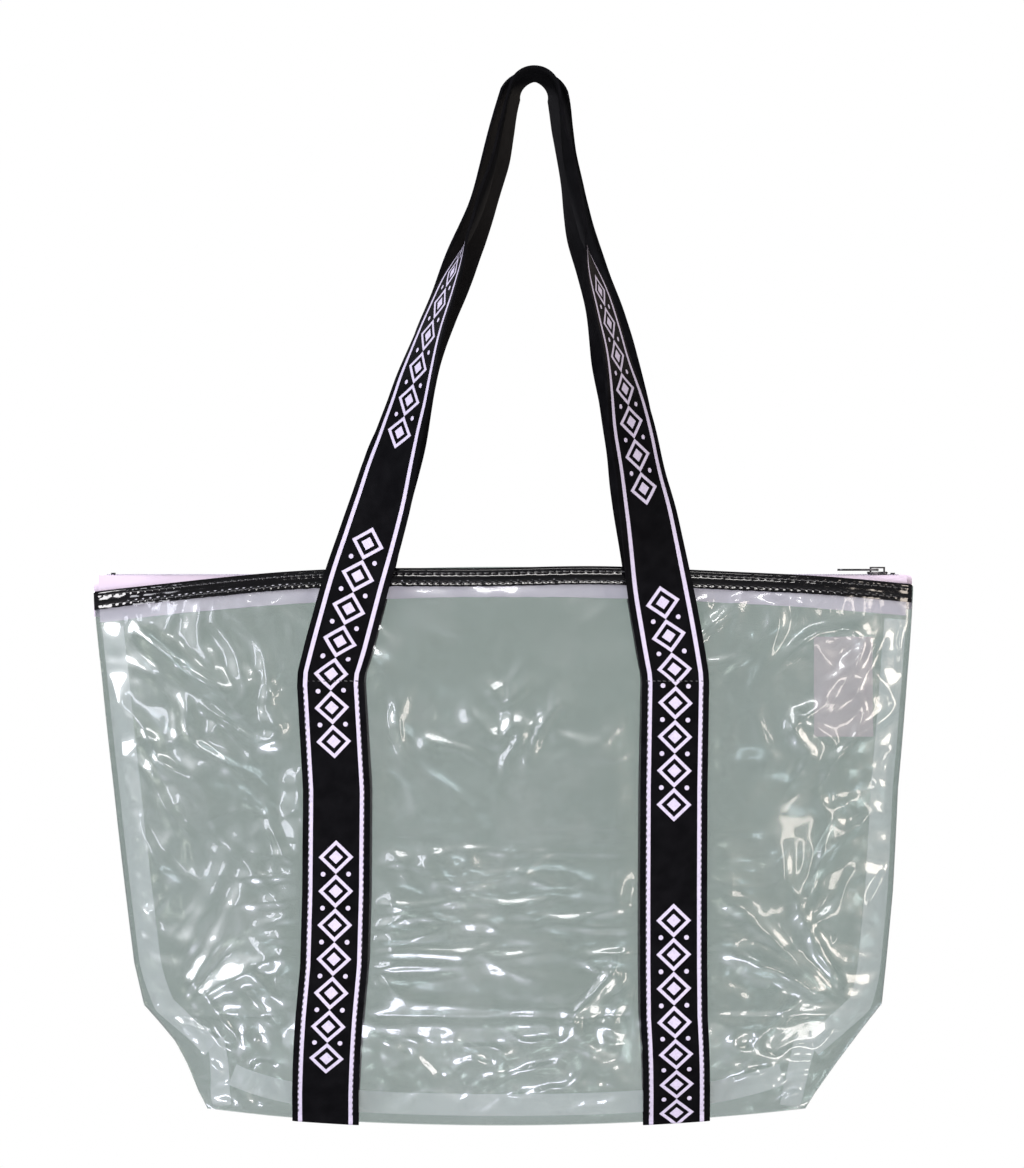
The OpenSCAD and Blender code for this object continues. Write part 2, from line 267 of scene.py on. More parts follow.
def tube(path, radius, sides):
    """A round wire along a path of points in millimetres."""
    tangent = unit(np.gradient(path, axis=0))
    n1 = unit(np.cross(tangent, np.array([1.0, 0, 0])))
    n2 = np.cross(tangent, n1)
    a = np.linspace(0, 2 * np.pi, sides, endpoint=False)
    circle = np.cos(a)[None, :, None] * n1[:, None] + np.sin(a)[None, :, None] * n2[:, None]
    n = len(path)
    faces = ring_faces(n, sides, flip=True).tolist()
    faces += [list(range(sides)), list(range((n - 1) * sides, n * sides))[::-1]]
    return (path[:, None] + radius * circle).reshape(-1, 3), faces, np.zeros((n * sides, 2))


STITCH_LEAN = 0.12


def stitches(points, along, normals, length, width, height):
    """One rounded stitch at each point, half sunk into the surface."""
    sides, rings = 6, 5
    t = np.linspace(-1, 1, rings)
    taper = np.sqrt(np.clip(1 - (t * 0.93) ** 2, 0, 1))
    a = np.linspace(0, 2 * np.pi, sides, endpoint=False)
    ring = np.stack([np.cos(a), np.sin(a)], 1)
    per = rings * sides
    quads = ring_faces(rings, sides)
    caps = [list(range(sides))[::-1], list(range((rings - 1) * sides, per))]
    verts, faces = [], []
    for k, (p, d, w, n) in enumerate(zip(points, along, np.cross(along, normals), normals)):
        lean = d * np.cos(STITCH_LEAN) + w * np.sin(STITCH_LEAN)
        for tt, tp in zip(t, taper):
            centre = p + lean * tt * length / 2 + n * (height * 0.5 * (1 - tt * tt))
            verts.append(centre + (ring[:, :1] * w * width / 2 + ring[:, 1:] * n * height / 2) * tp)
        faces.extend((quads + k * per).tolist())
        faces.extend([[x + k * per for x in cap] for cap in caps])
    verts = np.concatenate(verts)
    return verts, faces, np.zeros((len(verts), 2))


def new_object(name, verts, faces, uvs=None, sharp=45, mat=None):
    mesh = bpy.data.meshes.new(name)
    mesh.from_pydata((np.asarray(verts) * MM).tolist(), [], faces)
    if uvs is not None:
        layer = mesh.uv_layers.new(name="UVMap")
        index = np.zeros(len(mesh.loops), int)
        mesh.loops.foreach_get("vertex_index", index)
        layer.data.foreach_set("uv", np.asarray(uvs, np.float32)[index].ravel())
    mesh.polygons.foreach_set("use_smooth", np.ones(len(mesh.polygons), bool))
    mesh.set_sharp_from_angle(angle=math.radians(sharp))
    mesh.update()
    obj = bpy.data.objects.new(name, mesh)
    bpy.context.scene.collection.objects.link(obj)
    if mat:
        mesh.materials.append(mat)
    return obj


def make(name, parts, mat, body, replaced, back=False, sharp=45):
    """A piece of one or more parts. A piece for the back is the front one's mirror image. With
    no body, the caller says what the piece moves with."""
    verts = np.concatenate([v for v, _, _ in parts])
    uvs = np.concatenate([t for _, _, t in parts])
    faces, base = [], 0
    for part_verts, part_faces, _ in parts:
        faces.extend([[x + base for x in face] for face in part_faces])
        base += len(part_verts)
    if back:
        verts = verts * [1, -1, 1]
        faces = [f[::-1] for f in faces]
    obj = new_object(name, verts, faces, uvs, sharp, mat)
    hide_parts(*replaced)
    if body:
        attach(obj, body)
    return obj


# ---------------------------------------------------------------------------
# Materials


class Nodes:
    """A short way to write the nodes of a material, or of the world."""

    def __init__(self, name, kind="Material"):
        owners = bpy.data.worlds if kind == "World" else bpy.data.materials
        self.owner = owners.new(name)
        self.owner.use_nodes = True
        self.tree = self.owner.node_tree
        self.tree.nodes.clear()
        self.out = self.add("Output" + kind)

    def add(self, kind, inputs=None, **props):
        node = self.tree.nodes.new("ShaderNode" + kind)
        for k, v in props.items():
            setattr(node, k, v)
        for k, v in (inputs or {}).items():
            self.put(node.inputs[k], v)
        return node

    def put(self, socket, v):
        if isinstance(v, bpy.types.NodeSocket):
            self.tree.links.new(v, socket)
        elif isinstance(v, (tuple, list)) and len(v) == 3 and socket.type == "RGBA":
            socket.default_value = (*v, 1)
        else:
            socket.default_value = v

    def math(self, op, a, b=0.0, c=0.0):
        return self.add("Math", {0: a, 1: b, 2: c}, operation=op).outputs[0]

    def mix(self, factor, a, b):
        node = self.add("Mix", {"Factor": factor, "A": a, "B": b}, data_type="RGBA")
        return node.outputs["Result"]

    def mix_shader(self, factor, a, b):
        return self.add("MixShader", {0: factor, 1: a, 2: b}).outputs[0]

    def light_path(self, name):
        return self.add("LightPath").outputs[name]

    def object_space(self):
        return self.add("TexCoord").outputs["Object"]

    def noise(self, scale, detail=3.0, rough=0.5, vector=None, stretch=None):
        vector = vector or self.object_space()
        if stretch:
            vector = self.add("Mapping", {"Vector": vector, "Scale": stretch}).outputs[0]
        settings = {"Scale": scale, "Detail": detail, "Roughness": rough, "Vector": vector}
        return self.add("TexNoise", settings).outputs["Fac"]

    def uv(self):
        split = self.add("SeparateXYZ", {"Vector": self.add("UVMap", uv_map="UVMap").outputs[0]})
        return split.outputs["X"], split.outputs["Y"]

    def ramp(self, value, low, high, to_low=0.0, to_high=1.0):
        ends = {"From Min": low, "From Max": high, "To Min": to_low, "To Max": to_high}
        return self.add("MapRange", {"Value": value, **ends}).outputs[0]

    def band(self, value, centre, half, soft):
        """1 within half of centre, falling to 0 over soft."""
        away = self.math("ABSOLUTE", self.math("SUBTRACT", value, centre))
        return self.ramp(away, half + soft, half)

    def weave(self, u, v, pitch_u, pitch_v):
        """A plain weave's relief, from 0 to 1."""
        a = self.math("SINE", self.math("MULTIPLY", u, 2 * math.pi / pitch_u))
        b = self.math("SINE", self.math("MULTIPLY", v, 2 * math.pi / pitch_v))
        return self.math("MULTIPLY_ADD", self.math("MULTIPLY", a, b), 0.5, 0.5)

    def bump(self, height, strength, distance):
        settings = {"Height": height, "Strength": strength, "Distance": distance}
        return self.add("Bump", settings).outputs[0]

    def glossy(self, colour, rough, normal):
        settings = {"Color": colour, "Roughness": rough, "Normal": normal}
        return self.add("BsdfGlossy", settings).outputs[0]

    def principled(self, colour, rough, normal, more=None):
        main = {"Base Color": colour, "Roughness": rough, "Normal": normal}
        return self.add("BsdfPrincipled", {**main, **(more or {})}).outputs[0]

    def finish(self, shader):
        self.tree.links.new(shader, self.out.inputs["Surface"])
        return self.owner


def clear_vinyl():
    """Clear PVC: it tints what is behind it, shines, and is a little milky where it is scuffed.
    The shine is two glossy lobes, and it grows to the edges by Facing and not by Fresnel, which
    turns into a mirror on the sheet's inner faces."""
    n = Nodes("clear_vinyl")
    place = n.object_space()
    warp = n.add("TexNoise", {"Scale": 14.0, "Detail": 1.0, "Vector": place}).outputs["Color"]
    bent = n.add("VectorMath", {0: warp, 1: (0.05, 0.05, 0.05)}, operation="MULTIPLY").outputs[0]
    bent = n.add("VectorMath", {0: bent, 1: place}, operation="ADD").outputs[0]
    fold = n.math("ABSOLUTE", n.math("SUBTRACT", n.noise(20, 1.5, 0.4, vector=bent), 0.5))
    fold = n.ramp(fold, 0.075, 0.0)
    creased = n.ramp(n.noise(9, 2), 0.46, 0.62)
    height = n.math("MULTIPLY_ADD", n.noise(34, 2), 0.8, n.math("MULTIPLY", fold, creased))
    normal = n.bump(height, 0.30, 0.0010)

    dark_tint, light_tint = (0.714, 0.753, 0.736), (0.728, 0.765, 0.752)
    tint = n.mix(n.ramp(n.noise(7, 2), 0.35, 0.65), dark_tint, light_tint)
    through = n.add("BsdfTransparent", {"Color": tint}).outputs[0]
    mirror = (0.96, 0.95, 1.0)
    rough = n.ramp(n.noise(30, 3), 0.3, 0.75, 0.04, 0.10)
    sharp = n.glossy(mirror, rough, normal)
    soft = n.glossy(mirror, n.math("ADD", rough, 0.20), normal)
    gloss = n.mix_shader(0.66, sharp, soft)
    facing = n.add("LayerWeight", {"Blend": 0.5, "Normal": normal}).outputs["Facing"]
    edges = n.math("POWER", facing, 5.0)
    shine = n.mix_shader(n.math("MULTIPLY_ADD", edges, 0.6, 0.055), through, gloss)
    scuff = n.ramp(n.noise(16, 5, 0.6), 0.52, 0.78)
    haze = n.add("BsdfDiffuse", {"Color": (0.78, 0.76, 0.80), "Normal": normal}).outputs[0]
    return n.finish(n.mix_shader(n.math("MULTIPLY_ADD", scuff, 0.038, 0.018), shine, haze))


def patent():
    """Glossy black patent vinyl with a soft grain and finger smears."""
    n = Nodes("patent_black")
    height = n.math("MULTIPLY_ADD", n.noise(90, 3), 3.0, n.noise(700, 2))
    rough = n.ramp(n.noise(60, 4), 0.3, 0.8, 0.05, 0.14)
    smeared = n.ramp(n.noise(40, 3), 0.4, 0.7)
    colour = n.mix(smeared, (0.0022, 0.0022, 0.0026), (0.0045, 0.0042, 0.005))
    coat = {"Coat Weight": 0.2, "Coat Roughness": 0.04, "IOR": 1.48}
    return n.finish(n.principled(colour, rough, n.bump(height, 0.035, 0.0002), coat))


MOTIF_PITCH = 0.190
MOTIF_CELL = 0.0202
MOTIF_GROUP = 7 * MOTIF_CELL
DIAMOND_HALF = (0.0104, MOTIF_CELL / 2)
DOT_AT, DOT_R = 0.0076, 0.0014


def motif(n, across_m, along_m):
    """Groups of linked diamond outlines with solid hearts, and dots in the valleys between them."""
    place = n.math("FLOORED_MODULO", along_m, MOTIF_PITCH)
    cell = n.math("FLOOR", n.math("DIVIDE", place, MOTIF_CELL))
    cell_middle = n.math("MULTIPLY_ADD", cell, MOTIF_CELL, MOTIF_CELL / 2)
    along = n.math("ABSOLUTE", n.math("SUBTRACT", place, cell_middle))
    aside = n.math("ABSOLUTE", n.math("SUBTRACT", across_m, WEB_W * MM / 2))
    aside_share = n.math("DIVIDE", aside, DIAMOND_HALF[0])
    out = n.math("ADD", aside_share, n.math("DIVIDE", along, DIAMOND_HALF[1]))
    outline = n.band(out, 0.86, 0.12, 0.03)
    heart = n.math("LESS_THAN", out, 0.40)

    valley = n.math("SUBTRACT", MOTIF_CELL / 2, along)
    rise = n.math("SUBTRACT", aside, DOT_AT)
    squares = n.math("ADD", n.math("MULTIPLY", valley, valley), n.math("MULTIPLY", rise, rise))
    dots = n.math("LESS_THAN", n.math("SQRT", squares), DOT_R)
    not_at_ends = n.band(place, MOTIF_GROUP / 2, MOTIF_GROUP / 2 - MOTIF_CELL / 3, 0.0001)
    dots = n.math("MULTIPLY", dots, not_at_ends)
    drawn = n.math("MAXIMUM", n.math("MAXIMUM", outline, heart), dots)
    return n.math("MULTIPLY", drawn, n.math("LESS_THAN", place, MOTIF_GROUP))


def webbing():
    """Black woven polyester. White borders and the motif are printed on its outer face only."""
    n = Nodes("webbing_black")
    u, v = n.uv()
    weave = n.weave(u, v, 0.0016, 0.0011)
    rib = n.math("SINE", n.math("MULTIPLY", n.math("ADD", u, v), 2 * math.pi / 0.0026))
    height = n.math("MULTIPLY_ADD", rib, 0.25, weave)

    half, soft = 0.0012, 0.00012
    near_border = n.band(u, BORDER_AT * MM, half, soft)
    far_border = n.band(u, (WEB_W - BORDER_AT) * MM, half, soft)
    lines = n.math("ADD", near_border, far_border)
    outer_face = n.math("LESS_THAN", u, 0.5)
    printed = n.math("MULTIPLY", n.math("MAXIMUM", lines, motif(n, u, v)), outer_face)
    worn = n.ramp(n.noise(900, 3, 0.6), 0.2, 0.5, 0.72, 1.0)
    printed = n.math("MULTIPLY", printed, worn)

    fuzzy = n.ramp(n.noise(120, 4), 0.35, 0.7)
    fuzz = n.mix(fuzzy, (0.003, 0.003, 0.0036), (0.0055, 0.0055, 0.0065))
    dark = n.mix(n.math("MULTIPLY", weave, 0.55), fuzz, (0.0015, 0.0015, 0.002))
    ink = n.mix(n.noise(300, 2), (0.42, 0.385, 0.50), (0.49, 0.455, 0.575))
    rough = n.ramp(weave, 0.0, 1.0, 0.62, 0.9)
    matt = {"IOR": 1.12, "Specular IOR Level": 0.1, "Sheen Weight": 0.003, "Sheen Roughness": 0.4}
    normal = n.bump(height, 0.22, 0.0003)
    return n.finish(n.principled(n.mix(printed, dark, ink), rough, normal, matt))


def cloth(name, light, dark, pitch, lit, lit_from=None, alpha=1.0, rough=0.75):
    """Woven tape, a little see-through where alpha is under 1. Its own faint light, lit, stands
    for what shines through it. With lit_from, only what lies past that v is lit."""
    n = Nodes(name)
    u, v = n.uv()
    weave = n.weave(u, v, pitch, pitch * 0.8)
    blotch = n.ramp(n.noise(55, 4), 0.3, 0.7)
    darker = n.math("MULTIPLY_ADD", weave, 0.35, n.math("MULTIPLY", blotch, 0.5))
    colour = n.mix(darker, light, dark)
    if lit_from is not None:
        lit = n.ramp(v, lit_from, lit_from + 0.003, 0.0, lit)
    more = {"Alpha": alpha, "Sheen Weight": 0.05,
            "Emission Color": colour, "Emission Strength": lit}
    rough = n.ramp(weave, 0, 1, rough - 0.1, rough + 0.12)
    return n.finish(n.principled(colour, rough, n.bump(weave, 0.45, 0.0002), more))


def thread(name, light, dark, rough):
    """Twisted sewing thread."""
    n = Nodes(name)
    settings = {"Scale": 900.0, "Distortion": 1.5, "Detail": 1.0, "Vector": n.object_space()}
    twist = n.add("TexWave", settings, bands_direction="DIAGONAL").outputs["Fac"]
    rough = n.ramp(n.noise(400), 0.3, 0.7, rough, rough + 0.15)
    return n.finish(n.principled(n.mix(twist, dark, light), rough, n.bump(twist, 0.5, 0.00015)))


def nylon():
    """Pale lilac zip coil."""
    n = Nodes("zip_nylon")
    colour = n.mix(n.noise(80, 3), (0.40, 0.37, 0.48), (0.50, 0.46, 0.57))
    rough = n.ramp(n.noise(150), 0.3, 0.7, 0.28, 0.45)
    return n.finish(n.principled(colour, rough, n.bump(n.noise(500), 0.2, 0.0001)))


def metal():
    """Dark plated zinc with fine scratches and brighter rubbed spots."""
    n = Nodes("gunmetal")
    scratch = n.noise(240, 5, 0.65, stretch=(1.0, 6.0, 6.0))
    rubbed = n.ramp(n.noise(180, 3), 0.48, 0.72)
    colour = n.mix(rubbed, (0.045, 0.045, 0.05), (0.20, 0.19, 0.20))
    rough = n.ramp(scratch, 0.3, 0.7, 0.22, 0.42)
    normal = n.bump(scratch, 0.2, 0.0001)
    return n.finish(n.principled(colour, rough, normal, {"Metallic": 0.9}))


def floor_white():
    """Seen as plain white paper. It lights the bag only softly."""
    n = Nodes("floor_white")
    colour = n.mix(n.noise(1.5, 2), (0.48, 0.48, 0.49), (0.52, 0.52, 0.52))
    matt = n.add("BsdfDiffuse", {"Color": colour}).outputs[0]
    paper = n.add("Emission", {"Color": (1, 1, 1), "Strength": 1.0}).outputs[0]
    return n.finish(n.mix_shader(n.light_path("Is Camera Ray"), matt, paper))


def studio_world():
    """White where it is seen, dimmer as light, and fainter still in mirrors."""
    n = Nodes("studio", "World")

    def sky(colour, strength):
        return n.add("Background", {"Color": colour, "Strength": strength}).outputs[0]

    seen = sky((1, 1, 1), 1.0)
    ambient = sky((0.93, 0.95, 1.0), 0.42)
    mirrored = sky((0.95, 0.95, 1.0), 0.15)
    unseen = n.mix_shader(n.light_path("Is Glossy Ray"), ambient, mirrored)
    return n.finish(n.mix_shader(n.light_path("Is Camera Ray"), unseen, seen))


# ---------------------------------------------------------------------------
# Camera, light and floor

CAMERA_M = 3.0
CAMERA_X, CAMERA_Z = 0.0054, -0.3054
VIEW_H_M = 0.7008
camera_data = bpy.data.cameras.new("camera")
camera_data.sensor_fit = "VERTICAL"
camera_data.sensor_height = 24.0
camera_data.lens = camera_data.sensor_height * CAMERA_M / VIEW_H_M
camera = bpy.data.objects.new("camera", camera_data)
camera.location = (BAG_X * MM + CAMERA_X, -CAMERA_M, CAMERA_Z)
camera.rotation_euler = (math.pi / 2, 0, 0)
bpy.context.scene.collection.objects.link(camera)
bpy.context.scene.camera = camera
bpy.context.scene.view_settings.view_transform = "Standard"

BAG_MIDDLE = (BAG_X * MM, 0, -0.45)


def area_light(name, place, size, power, colour):
    """A lit rectangle that faces the bag's middle."""
    data = bpy.data.lights.new(name, "AREA")
    data.shape = "RECTANGLE"
    data.size, data.size_y = size
    data.energy = power
    data.color = colour
    obj = bpy.data.objects.new(name, data)
    obj.location = place
    direction = Vector(BAG_MIDDLE) - Vector(place)
    obj.rotation_euler = direction.to_track_quat("-Z", "Y").to_euler()
    bpy.context.scene.collection.objects.link(obj)


area_light("key_left", (-1.75, -1.75, 0.45), (0.85, 1.3), 72, (1.0, 0.98, 1.0))
area_light("key_right", (1.85, -1.55, 0.05), (0.60, 1.0), 25, (1.0, 0.87, 0.76))
area_light("strip_left", (-1.05, -2.5, 0.0), (0.20, 0.75), 6, (0.93, 0.92, 1.0))
area_light("strip_right", (1.1, -2.4, -0.25), (0.18, 0.70), 5, (1.0, 0.88, 0.78))
area_light("top_front", (0.15, -2.3, 0.85), (0.9, 0.25), 13, (1.0, 0.97, 0.95))
area_light("low_front", (-0.45, -1.9, -1.45), (0.7, 0.35), 15, (0.90, 0.88, 1.0))
area_light("low_right", (0.8, -1.5, -1.55), (0.5, 0.35), 8, (1.0, 0.92, 0.86))
area_light("back_left", (-1.5, 1.8, 0.5), (0.45, 0.8), 36, (0.93, 0.91, 1.0))
area_light("back_right", (1.5, 1.8, 0.1), (0.40, 0.8), 28, (1.0, 0.88, 0.78))
bpy.context.scene.world = studio_world()

FLOOR_Z, FLOOR_R, FLOOR_SIDES = -1750.0, 14000.0, 64
ring = [(FLOOR_R * math.cos(a), FLOOR_R * math.sin(a), FLOOR_Z)
        for a in np.linspace(0, 2 * math.pi, FLOOR_SIDES, endpoint=False)]
floor = new_object("floor", ring, [list(range(FLOOR_SIDES))], mat=floor_white())

# ---------------------------------------------------------------------------
# Panels

CLEAR = clear_vinyl()
PANEL_COLS, PANEL_ROWS = 300, 216
CREASE_Z = RIM_Z - BAG_H * CREASE_AT


def corner_folds(x, z, seed):
    """Long soft folds that run from the lower corners up and from the rim's ends down."""
    picks = np.random.default_rng(seed)
    low_x, high_x = BASE_W / 2 + 24, RIM_W / 2 - 12
    starts = [(BAG_X - low_x, CREASE_Z, 1, 1)] * 5 + [(BAG_X + low_x, CREASE_Z, -1, 1)] * 5
    starts += [(BAG_X - high_x, RIM_Z - 30, 1, -1)] * 4 + [(BAG_X + high_x, RIM_Z - 30, -1, -1)] * 4
    total = np.zeros_like(x)
    for x0, z0, inward, up in starts:
        angle = math.radians(picks.uniform(18, 72)) * up
        length = picks.uniform(60, 150)
        dx, dz = inward * math.cos(angle), math.sin(angle)
        along = (x - x0 - inward * 6) * dx + (z - z0) * dz
        bend = picks.uniform(-0.0016, 0.0016) * along**2
        aside = -(x - x0) * dz + (z - z0) * dx + bend
        wide = picks.uniform(2.2, 4.5) * (1 + np.clip(along, 0, 400) / 90)
        fade = smooth(along, 4, 25) * (1 - smooth(along, length * 0.4, length))
        total += picks.uniform(0.8, 2.0) * bell(aside, wide) * fade
    return total


def wrinkles(x, z, u, s, seed):
    """How far the sheet stands off its smooth shape, in millimetres. Every length here is in
    millimetres: a noise's two sizes are across and down the panel."""

    def noise(number, wide, tall, at_x=x, at_z=z):
        return perlin(at_x / wide, at_z / tall, seed + number)

    rim_d = s * BAG_H
    base_d = (1 - s) * BAG_H
    edge_d = (1 - np.abs(u)) * half_w(s)
    strap_d = np.minimum(np.abs(x - BAG_X - STRAP_X), np.abs(x - BAG_X + STRAP_X)) - WEB_W / 2

    # all over: broad waves, and two sizes of ridge that are strongest where it is crumpled
    warp_x, warp_z = x + 14 * noise(1, 60, 60), z + 14 * noise(2, 60, 60)
    broad = 3.0 * noise(3, 120, 95, warp_x, warp_z)
    crumpled = smooth(noise(4, 75, 70) + 0.55 * np.abs(u) ** 2, 0.0, 0.6)
    slant = np.where(u < 0, 1, -1) * 0.8
    long_ridges = noise(5, 34, 70, warp_x + slant * warp_z, warp_z - slant * warp_x)
    short_ridges = noise(6, 19, 26, warp_x, warp_z)
    ridges = 1.7 * bell(long_ridges, 0.24) + 0.65 * bell(short_ridges, 0.28)
    dents = 0.55 * noise(7, 15, 12) * smooth(crumpled, 0.3, 1)

    # by place: bars over the base crease, ridges under it, streaks at mid height, side puckers
    bars = 0.7 * noise(8, 60, 9) * bell(z - CREASE_Z - 22, 45) * (1 - np.abs(u)) ** 0.5
    pucker_side = 0.8 * perlin(z / 9, edge_d / 60, seed + 11) * np.exp(-edge_d / 15)
    in_base = smooth(s, CREASE_AT + 0.01, CREASE_AT + 0.06)
    base_ridges = bell(noise(14, 24, 17, x + 0.5 * z, z - 0.3 * x), 0.24)
    in_streak = bell(s - 0.62, 0.14) * smooth(0.8 - np.abs(u), 0, 0.3)
    streaks = bell(perlin(x / 55 + 3, z / 15, seed + 16), 0.25)
    total = broad + (0.25 + 0.9 * crumpled) * ridges + dents + bars + pucker_side
    total += corner_folds(x, z, seed + 12)
    total += in_base * (1.5 * base_ridges + 0.8 * noise(15, 13, 11))
    total += in_streak * 1.2 * streaks

    # the sewn straps and the sheet's edges hold it flat, and pucker it beside their stitches
    below_stitch = smooth(STITCH_Z + 6 - z, 0, 12)
    free = 1 - (1 - smooth(strap_d, 0.5, 16)) * below_stitch
    beside = 0.45 * perlin(z / 7, x / 40, seed + 13) * np.exp(-np.clip(strap_d - 1, 0, 99) / 8)
    beside = beside * smooth(strap_d, 0.3, 2) * below_stitch
    off_side = smooth(edge_d, 0.5, 9)
    off_rim = smooth(rim_d, BINDING_H, BINDING_H + 8)
    off_edges = off_side * off_rim * smooth(base_d, 1, 9)
    below_binding = np.clip(rim_d - BINDING_H, 0, 999)
    pucker_rim = 0.55 * perlin(x / 6.5, rim_d / 60, seed + 10) * np.exp(-below_binding / 12)
    pucker_rim = pucker_rim * smooth(rim_d, BINDING_H, BINDING_H + 3)
    crease = -1.3 * np.exp(-np.abs(z - CREASE_Z + 1.5 * perlin(x / 50, 0, seed + 9)) / 3.0)
    return (total * free + beside) * off_edges + pucker_rim + crease * free * off_side


def panel_part(seed):
    u = np.sin(np.pi / 2 * np.linspace(-1, 1, PANEL_COLS + 1))[:, None]
    top = share(u, SHEET_BELOW_RIM)
    s = top + (1 - top) * np.linspace(0, 1, PANEL_ROWS)[None, :]
    u = np.broadcast_to(u, s.shape)
    mid = surf(u, s, 0.0)
    push = wrinkles(mid[..., 0], mid[..., 2], u, s, seed)
    clear_of_other_panel = depth(u, s) - 0.9
    mid[..., 1] -= np.maximum(push, -clear_of_other_panel)
    du, dv = np.gradient(mid, axis=0), np.gradient(mid, axis=1)
    normal = facing_front(unit(np.cross(dv, du)))
    normal[[0, -1]] = [0, -1, 0]
    half = normal * SHEET_T / 2
    return slab(settle(mid + half), settle(mid - half), uv_grid(mid[..., 0], mid[..., 2]))


for side, back, seed in (("front", False, 20), ("back", True, 71)):
    piece = make(f"{side}_panel_sheet", [panel_part(seed)], CLEAR, "bag",
                 [f"{side}_panel"], back=back, sharp=60)

# ---------------------------------------------------------------------------
# Rim: binding, threads

PATENT = patent()
THREAD_BLACK = thread("thread_black", (0.05, 0.05, 0.055), (0.008, 0.008, 0.009), 0.35)


def rim_sag(u):
    """The binding dips a little between the straps and not at its ends."""
    return (-1.6 * bell(u, 0.22) + 0.5 * np.sin(9 * u)) * (1 - np.abs(u) ** 4)


def around_rim(u, reach, edge, seed):
    """Distances down and offsets out: up the inner leaf, over the edge and down the outer leaf."""
    leaf = np.linspace(0, 1, 15)[None, :]
    arc = np.linspace(0, np.pi, 9)[None, :]
    down = BINDING_H + 0.25 * perlin(u * 60, 0.3, seed)
    from_edge = edge + reach
    inner_d = from_edge + (down - from_edge) * (1 - leaf)
    outer_d = from_edge + (down - from_edge) * leaf
    fold_d = edge + reach * (1 - np.sin(arc)) + 0 * u
    fold_o = -reach * np.cos(arc) + 0 * u
    d = np.concatenate([inner_d[:, :-1], fold_d, outer_d[:, 1:]], 1)
    flat = np.full_like(inner_d, reach)[:, 1:]
    return d, np.concatenate([-flat, fold_o, flat], 1)


def binding_part(seed):
    cols = int(RIM_W / STITCH_PITCH * 4)
    u = np.linspace(-0.9975, 0.9975, cols)[:, None]

    def points(d, o):
        p = surf(u, share(u, d), o)
        p[..., 2:] += rim_sag(u)[..., None]
        return p

    d, o = around_rim(u, BINDING_OUT, 0.0, seed)
    phase = np.cos(2 * np.pi * (u * RIM_W / 2) / STITCH_PITCH)
    dimple = sum(bell(d - row, 0.8) for row in RIM_ROWS) * (0.32 + 0.22 * phase)
    puff = 0.22 * bell(d - sum(RIM_ROWS) / 2, 1.6) + 0.13 * perlin(u * 38, d / 9, seed + 1)
    relief = (puff - np.minimum(dimple, 0.5)) * smooth(np.abs(o), 0.8, 1.3)
    out = points(d, o + np.sign(o) * relief)
    d, o = around_rim(u, BINDING_IN, 1.0, seed)
    return slab(out, points(d, o), uv_grid(u * RIM_W / 2, d))


def rim_stitch_parts():
    parts = []
    x = np.arange(-RIM_W / 2 + 6, RIM_W / 2 - 5, STITCH_PITCH) + STITCH_PITCH / 2
    u = x / (RIM_W / 2)
    sunk = BINDING_OUT - 0.22
    for row in RIM_ROWS:
        p = surf(u, share(u, row), sunk)
        ahead = u + 0.002
        along = unit(surf(ahead, share(ahead, row), sunk) - p)
        normal = facing_front(unit(np.cross(along, [0, 0, 1.0])))
        p[..., 2] += rim_sag(u)
        parts.append(stitches(p, along, normal, 3.0, 0.75, 0.5))
    return parts


for side, back in (("front", False), ("back", True)):
    make(f"{side}_rim_binding_fold", [binding_part(5 + back)], PATENT, "bag",
         [f"{side}_rim_binding"], back=back, sharp=70)
    make(f"{side}_rim_stitches", rim_stitch_parts(), THREAD_BLACK, "bag",
         [f"{side}_rim_thread"], back=back, sharp=60)

# ---------------------------------------------------------------------------
# Zip: tapes, coils, folded ends, metal

TAPE = cloth("zip_tape_lilac", (0.54, 0.47, 0.56), (0.44, 0.37, 0.47), 0.0009, 0.85, lit_from=0.018)
NYLON = nylon()
METAL = metal()
TAPE_STEPS = 16
COIL_PITCH = 1.6
COIL_MIDDLE_Y = -1.78
COIL_HALF = (1.08, 0.82)
COIL_WIRE_R = 0.33


def resample(points, count):
    """Evenly spaced points along each polyline of an array shaped (n, k, 3)."""
    steps = np.linalg.norm(np.diff(points, axis=1), axis=-1)
    run = np.concatenate([np.zeros((len(points), 1)), np.cumsum(steps, 1)], 1)
    out = np.empty((len(points), count, 3))
    for k, (p, r) in enumerate(zip(points, run)):
        at = np.linspace(0, r[-1], count)
        for a in range(3):
            out[k, :, a] = np.interp(at, r, p[:, a])
    return out


def tape_part(seed):
    """From the teeth over to the panel and down behind the binding to the hem."""
    u = np.linspace(-0.985, 0.985, 300)
    x = BAG_X + u * RIM_W / 2
    hem = TAPE_HEM + 0.35 * perlin(u * 24, 0.5, seed)

    def face(o, lift, lip):
        top = np.minimum(ZIP_Z, rim_top(u) - 2.5) + lift
        at_teeth = np.full_like(x, -(TEETH_HALF_W - 0.5))
        level = np.full_like(x, ZIP_Z + lift)
        line = [
            np.stack([x, at_teeth, level], -1),
            np.stack([x, np.full_like(x, -lip), level], -1),
            np.stack([x, -(depth(u, 0) + o), top], -1),
            surf(u, share(u, TAPE_HEM / 2 + 5), o),
            surf(u, share(u, hem), o),
        ]
        return resample(np.stack(line, 1), TAPE_STEPS)

    uv = uv_grid((u * RIM_W / 2)[:, None], np.linspace(0, 30, TAPE_STEPS)[None])
    return slab(face(TAPE_O, TAPE_T / 2, 5.1), face(TAPE_O - TAPE_T, -TAPE_T / 2, 4.9), uv)


